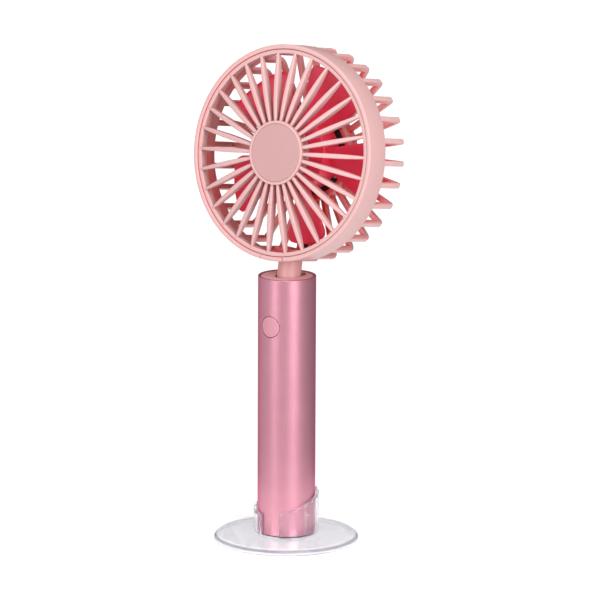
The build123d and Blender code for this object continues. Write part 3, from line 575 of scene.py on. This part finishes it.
BOSS_FROM_AXIS = 16.1
screw_boss = turn([(0.93, -14.5), (2.5, -14.5), (2.5, -10.0), (0.93, -10.0)], 48)
screw_boss.data.transform(Matrix.Translation((BOSS_FROM_AXIS * MM, 0, 0)))
LUG_ANGLES = (30, 150, 270)
LUG_SWEEP = 6
lugs = [sector(46.95, 48.1, 12.4, 13.6, middle, LUG_SWEEP) for middle in LUG_ANGLES]
cage_parts = [rim, cup, saddle, duct] + lugs + ring_of(screw_boss, 3, 90)
cage_parts += ring_of(cage_bar, SPOKES, CAGE_START)
fit_to_head("cage_moulding", cage_parts, head_plastic, "head", "rear_cage")

# --- Motor -------------------------------------------------------------------
# A brushed can motor: drawn steel can, moulded end cap, bronze bushes, ferrite
# magnets and a wound three-pole rotor on a steel shaft. It hangs from a
# moulded cover, which three screws hold in the cup.

bronze = steel("bronze", (0.62, 0.42, 0.22), 0.32)
# The cover's black also stands in for the shadow in the narrow gap between the impeller's hub and the cup.
wear("motor_cover", black_plastic)
wear("cover_screws", zinc_steel)
wear("motor_screws", zinc_steel)
wear("motor_can", nickel)
wear("motor_end_cap", black_plastic)
wear("motor_terminals", bronze)
wear("motor_bushes", bronze)
wear("motor_magnets", moulded("magnet_ferrite", (0.06, 0.058, 0.055), (0.04, 0.04, 0.038), 0.6))
wear("motor_leads", leads)
wear("motor_shaft", zinc_steel)
wear("rotor_core", steel("core_steel", (0.36, 0.36, 0.37), 0.4))
wear("rotor_windings", steel("copper_wire", (0.72, 0.30, 0.14), 0.3))
wear("commutator", bronze)

# --- Impeller ----------------------------------------------------------------
# One crimson moulding, pressed on the shaft: a deep hub and five thin blades,
# each a strip of a helix with rounded corners and rounded edges.

BLADES = 5
BLADE_STEPS = 24
BLADE_SWEEP = 42.0
BLADE_FIRST = 43.5
BLADE_BACK = -6.6
BLADE_FRONT = 4.3
BLADE_ROOT = 16.2
BLADE_TIP = 41.8
BLADE_THICK = 1.2
CORNER = 3.5
CRIMSON = (0.80, 0.032, 0.082)
CRIMSON_DEEP = (0.75, 0.028, 0.073)
blade_plastic = moulded("blade_plastic", CRIMSON, CRIMSON_DEEP, 0.34)

HUB_R = 16.8
HUB_BORE = 15.4
HUB_FRONT = 5.5
HUB_FACE = 4.1
HUB_BACK = -7.0
SOCKET_R = 3.2
SOCKET_BACK = 1.6
SHAFT_BORE = 1.01
SHAFT_STOP = 4.05
hub = turn([
    (0, HUB_FRONT), (HUB_R, HUB_FRONT), (HUB_R, HUB_BACK), (HUB_BORE, HUB_BACK), (HUB_BORE, HUB_FACE),
    (SOCKET_R, HUB_FACE), (SOCKET_R, SOCKET_BACK), (SHAFT_BORE, SOCKET_BACK),
    (SHAFT_BORE, SHAFT_STOP), (0, SHAFT_STOP),
], 120)
soften(hub, 0.5)


def blade_tip(share):
    """The blade's outer radius at this share of its sweep: full, with a rounded corner at each edge."""
    arc = radians(BLADE_SWEEP) * BLADE_TIP
    in_from_edge = min(share, 1 - share) * arc
    if in_from_edge >= CORNER:
        return BLADE_TIP
    return BLADE_TIP - CORNER + (CORNER**2 - (CORNER - in_from_edge) ** 2) ** 0.5


bpy.ops.object.select_all(action="DESELECT")
bpy.ops.mesh.primitive_grid_add(x_subdivisions=12, y_subdivisions=1, size=MM)
edit_all()
bpy.ops.mesh.select_all(action="DESELECT")
bpy.ops.object.mode_set(mode="OBJECT")
blade = bpy.context.object
for vertex in blade.data.vertices:
    vertex.select = vertex.co.y > 0
bpy.ops.object.mode_set(mode="EDIT")
bpy.ops.mesh.select_mode(type="VERT")
bpy.ops.mesh.select_all(action="INVERT")
bpy.ops.mesh.delete(type="VERT")
bpy.ops.mesh.select_all(action="SELECT")
reach = blade_tip(0) - BLADE_ROOT
bpy.ops.transform.resize(value=(reach, 1, 1), center_override=(0, 0, 0))
bpy.ops.transform.translate(value=((BLADE_ROOT + reach / 2) * MM, -0.5 * MM, BLADE_BACK * MM))
for step in range(1, BLADE_STEPS + 1):
    share = step / BLADE_STEPS
    next_reach = blade_tip(share) - BLADE_ROOT
    rise = (BLADE_FRONT - BLADE_BACK) / BLADE_STEPS
    angle = radians(BLADE_SWEEP / BLADE_STEPS)
    turned = radians(BLADE_SWEEP) * (step - 1) / BLADE_STEPS
    root = Vector((cos(turned), sin(turned), 0)) * BLADE_ROOT * MM
    bpy.ops.mesh.extrude_region_move(TRANSFORM_OT_translate={"value": (0, 0, rise * MM)})
    bpy.ops.transform.resize(value=(next_reach / reach,) * 2 + (1,), center_override=root)
    bpy.ops.transform.rotate(value=-angle, orient_axis="Z", center_override=(0, 0, 0))
    reach = next_reach
blade = close_up()
thickness = blade.modifiers.new("thickness", "SOLIDIFY")
thickness.thickness = BLADE_THICK * MM
thickness.offset = 0
bpy.ops.object.modifier_apply(modifier=thickness.name)
soften(blade, 0.4, 3, 50)
impeller_parts = [hub] + ring_of(blade, BLADES, BLADE_FIRST)
fit_to_head("impeller_moulding", impeller_parts, blade_plastic, "impeller", "impeller")

# --- Front grille ------------------------------------------------------------
# A moulded ring, hub and thirty curved ribs. The ribs are deepest half-way,
# rounded at the front, and run out to blunt tips on the ring. Three slots in
# the ring hook under the rim's lugs when the grille is twisted home.

# Painted shade: the grille darkens to this in corners and gaps between the ribs, hub and ring.
GRILLE_PAINTED_SHADE = (0.40, 0.15, 0.15)
grille_plastic = moulded("grille_plastic", HEAD_PINK, HEAD_PINK_SHADED, corner_shade=GRILLE_PAINTED_SHADE, reach=0.005)
RIB_FIRST = 3.5
RIB_STATIONS = 12
RIB_INNER = 13.8
RIB_OUTER = 46.7


def rib_station(share):
    """(x, depth, width, height) of the rib at this share of its length, from hub to ring.

    It falls back and thins towards the ring, and half-way it is deeper and wider."""
    bow = 4 * share * (1 - share)
    front = 20.3 - 4.25 * share + 0.75 * bow
    back = 17.6 - 3.3 * share - 1.05 * bow
    width = 1.5 - 0.3 * share + 0.85 * bow
    return RIB_INNER + (RIB_OUTER - RIB_INNER) * share, (front + back) / 2, width, front - back


x, depth, width, height = rib_station(0)
bar([rib_station(step / RIB_STATIONS) for step in range(1, RIB_STATIONS + 1)], (x, depth), width, height)
grille_rib = close_up()
soften(grille_rib, 0.48, 4, 50)

RING_BORE = 45.8
RING_R = 47.75
RING_BACK = 11.6
RING_FRONT = 15.9
TWIST = 14.5
ring = turn([(RING_BORE, RING_BACK), (RING_R, RING_BACK), (RING_R, RING_FRONT), (RING_BORE, RING_FRONT)])
soften(ring, 0.3)
for middle in LUG_ANGLES:
    cut(
        ring,
        sector(46.8, 48.7, 12.25, 13.75, middle - TWIST / 2, TWIST + LUG_SWEEP + 2),
        sector(46.8, 48.7, 11.0, 13.75, middle - TWIST, LUG_SWEEP + 2),
    )

BOSS_R = 14.8
BOSS_BORE = 13.4
BOSS_BACK = 14.6
BOSS_FRONT = 20.9
FACE_BACK = 18.8
FACE_FRONT = 20.2
RECESS_R = 13.45
boss = turn([
    (0, FACE_BACK), (BOSS_BORE, FACE_BACK), (BOSS_BORE, BOSS_BACK), (BOSS_R, BOSS_BACK),
    (BOSS_R, BOSS_FRONT), (RECESS_R, BOSS_FRONT), (RECESS_R, FACE_FRONT), (0, FACE_FRONT),
], 120)
soften(boss, 0.3)

grille_parts = [ring, boss] + ring_of(grille_rib, SPOKES, RIB_FIRST)
fit_to_head("grille_ribs", grille_parts, grille_plastic, "grille", "front_grille")

# --- Badge -------------------------------------------------------------------
# A thin moulded disc glued into the hub's recess, satin and left plain.

BADGE_PINK = (0.425, 0.240, 0.236)
BADGE_PINK_SHADED = (0.415, 0.232, 0.228)
wear("grille_badge", moulded("badge_plastic", BADGE_PINK, BADGE_PINK_SHADED, 0.34))

# --- Studio ------------------------------------------------------------------
# A white sweep under soft boxes on both sides, and a long lens far away.

FLOOR_R = 0.12
AIM = Vector((0.00486, 0.00353, 0.11404))
CAMERA_AZIMUTH = 35.983
CAMERA_ELEVATION = 12.175
CAMERA_DISTANCE = 2.25384
CAMERA_ROLL = 0.242
LENS = 291.67


def toward(azimuth, elevation):
    """The unit vector out from the object at this azimuth and elevation, in degrees."""
    around, above = radians(azimuth), radians(elevation)
    return Vector((sin(around) * cos(above), -cos(around) * cos(above), sin(above)))


bpy.ops.object.select_all(action="DESELECT")
bpy.ops.mesh.primitive_circle_add(vertices=96, radius=FLOOR_R, fill_type="NGON")
floor = bpy.context.object
floor.name = "floor"
WHITE = (1, 1, 1, 1)
PAPER = (0.6, 0.6, 0.6, 1)
sweep = Finish("white_sweep", base_color=PAPER, roughness=0.8, emission_color=WHITE, emission_strength=0.55)
floor.data.materials.append(sweep.material)


def soft_box(name, azimuth, elevation, distance, width, height, power):
    lamp = bpy.data.lights.new(name, "AREA")
    lamp.shape = "RECTANGLE"
    lamp.size, lamp.size_y, lamp.energy = width, height, power
    box = bpy.data.objects.new(name, lamp)
    out = toward(azimuth, elevation)
    box.location = AIM + out * distance
    box.rotation_euler = out.to_track_quat("Z", "Y").to_euler()
    bpy.context.collection.objects.link(box)


soft_box("front_box", -12, 17, 1.2, 0.4, 0.9, 6.8)
soft_box("side_box", 63, 17, 1.2, 0.6, 0.9, 10.6)
soft_box("top_box", 60, 58, 1.3, 0.9, 0.9, 12)

DARK_SIDE = 165
WALLS_LIGHT = 0.48
WALLS_DARK = 0.20
FROM_BELOW = 1.2
AS_SEEN = 1.1
world = bpy.data.worlds.new("studio")
bpy.context.scene.world = world
world.use_nodes = True
room = world.node_tree


def room_node(kind, settings, *links):
    made = room.nodes.new(kind)
    for name, value in settings.items():
        setattr(made, name, value)
    for key, value in enumerate(links):
        if isinstance(value, bpy.types.NodeSocket):
            room.links.new(value, made.inputs[key])
        elif value is not None:
            made.inputs[key].default_value = value
    return made.outputs


direction = room_node("ShaderNodeTexCoord", {})["Generated"]
dot = {"operation": "DOT_PRODUCT"}
toward_dark = room_node("ShaderNodeVectorMath", dot, direction, toward(DARK_SIDE, 0))["Value"]
walls = room_node("ShaderNodeMapRange", {}, toward_dark, 0.0, 0.9, WALLS_LIGHT, WALLS_DARK)[0]
seen = room_node("ShaderNodeLightPath", {})["Is Camera Ray"]
height = room_node("ShaderNodeSeparateXYZ", {}, direction)["Z"]
below = room_node("ShaderNodeMapRange", {}, height, -0.1, -0.75, 0.0, FROM_BELOW)[0]
around = room_node("ShaderNodeMath", {"operation": "ADD"}, walls, below)[0]
level = room_node("ShaderNodeMapRange", {}, seen, 0.0, 1.0, around, AS_SEEN)[0]
backdrop = room.nodes["Background"]
backdrop.inputs["Color"].default_value = WHITE
room.links.new(level, backdrop.inputs["Strength"])

lens = bpy.data.cameras.new("camera")
lens.lens = LENS
lens.sensor_width = 36
lens.clip_end = 20
camera = bpy.data.objects.new("camera", lens)
bpy.context.collection.objects.link(camera)
back = toward(CAMERA_AZIMUTH, CAMERA_ELEVATION)
camera.location = AIM + back * CAMERA_DISTANCE
upright = back.to_track_quat("Z", "Y").to_matrix().to_4x4()
camera.rotation_euler = (upright @ Matrix.Rotation(radians(CAMERA_ROLL), 4, "Z")).to_euler()
bpy.context.scene.camera = camera
bpy.context.scene.view_settings.view_transform = "Standard"
